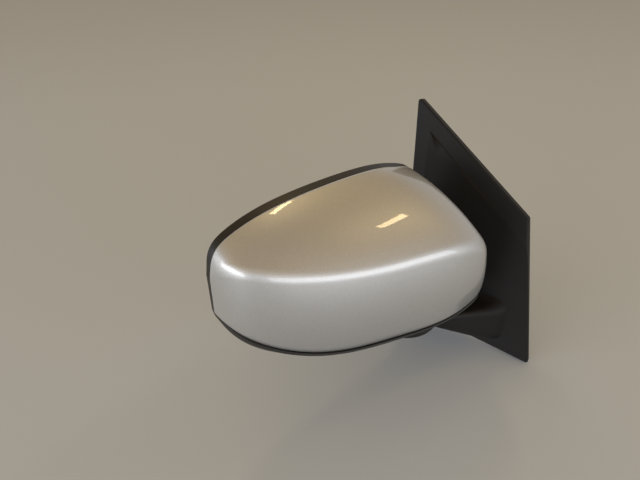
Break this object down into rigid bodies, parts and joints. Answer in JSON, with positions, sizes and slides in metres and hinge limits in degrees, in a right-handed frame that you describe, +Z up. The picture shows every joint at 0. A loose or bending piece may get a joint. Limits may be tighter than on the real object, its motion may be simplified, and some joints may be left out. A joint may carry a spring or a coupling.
{
  "type": "folding exterior door mirror, right-hand",
  "caption": "Right-hand folding door mirror: painted shell round a black bezel with convex glass, on an arm from a triangular base.",
  "frame": {"origin": "centre of the stud pattern on the base bracket's inboard mating face", "axes": "+X outboard from the car's right side, +Y towards the car's front, +Z up"},
  "size_m": [0.2942, 0.2122, 0.2396],
  "materials": {
    "paint": "metallic silver, clear coated",
    "satin_plastic": "satin",
    "grained_plastic": "fine grain",
    "inner_plastic": "plain",
    "cast_metal": "as cast",
    "steel": "zinc plated",
    "seal": "matt foam",
    "mirror": "silvered"
  },
  "bodies": {
    "base": {"base_cover": "grained_plastic", "base_bracket": "cast_metal", "base_gasket": "seal", "harness_grommet": "seal", "pivot_post": "steel", "mount_stud_1": "steel", "mount_stud_2": "steel", "mount_stud_3": "steel", "locating_peg_1": "inner_plastic", "locating_peg_2": "inner_plastic"},
    "head": {"head_cap": "paint", "lower_shell": "satin_plastic", "bezel": "satin_plastic", "head_frame": "cast_metal", "glass_motor": "inner_plastic"},
    "ring": {"gimbal_ring": "inner_plastic"},
    "glass": {"glass_holder": "inner_plastic", "mirror_glass": "mirror"}
  },
  "joints": [
    {"name": "fold", "type": "hinge", "parent": "base", "child": "head", "pos_m": [0.0866, -0.0132, 0], "axis": [0, 0, 1], "range_deg": [-66, 55]},
    {"name": "glass_tilt", "type": "hinge", "parent": "head", "child": "ring", "pos_m": [0.14241, -0.05804, 0.0751], "axis": [0.9703, -0.2419, 0], "range_deg": [-7, 7]},
    {"name": "glass_pan", "type": "hinge", "parent": "ring", "child": "glass", "pos_m": [0.14241, -0.05804, 0.0751], "axis": [0, 0, 1], "range_deg": [-6, 6]}
  ]
}
